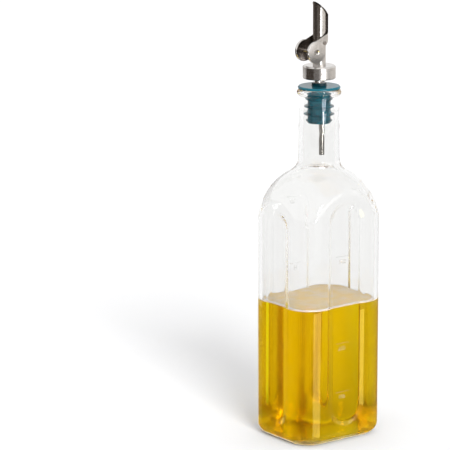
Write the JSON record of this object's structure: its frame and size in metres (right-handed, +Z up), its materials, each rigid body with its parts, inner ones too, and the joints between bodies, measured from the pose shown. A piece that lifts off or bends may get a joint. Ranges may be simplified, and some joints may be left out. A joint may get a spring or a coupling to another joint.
{
  "type": "oil and vinegar bottle",
  "caption": "Rectangular glass bottle with domed shoulder and long neck, part filled with golden oil, with a rubber stopper and a steel pourer with a weighted flap.",
  "frame": {"origin": "centre of the base, on the surface that the bottle stands on", "axes": "+Z up along the neck, +X and +Y across the wide and narrow walls, the pourer pours towards -X"},
  "size_m": [0.075, 0.064, 0.3069],
  "materials": {
    "clear_glass": "clear, polished",
    "golden_oil": "clear liquid",
    "teal_rubber": "satin",
    "steel": "fine polish"
  },
  "bodies": {
    "bottle": {"bottle_glass": "clear_glass", "oil": "golden_oil", "stopper": "teal_rubber", "shank_tube": "steel", "vent_tube": "steel", "collar": "steel", "spout_tube": "steel", "pivot_pin_front": "steel", "pivot_pin_back": "steel"},
    "pourer_flap": {"flap": "steel", "weight_front": "steel", "weight_back": "steel", "weight_rod": "steel"}
  },
  "joints": [
    {"name": "flap_hinge", "type": "hinge", "parent": "bottle", "child": "pourer_flap", "pos_m": [0, 0, 0.2784], "axis": [0, 1, 0], "range_deg": [0, 45]}
  ]
}
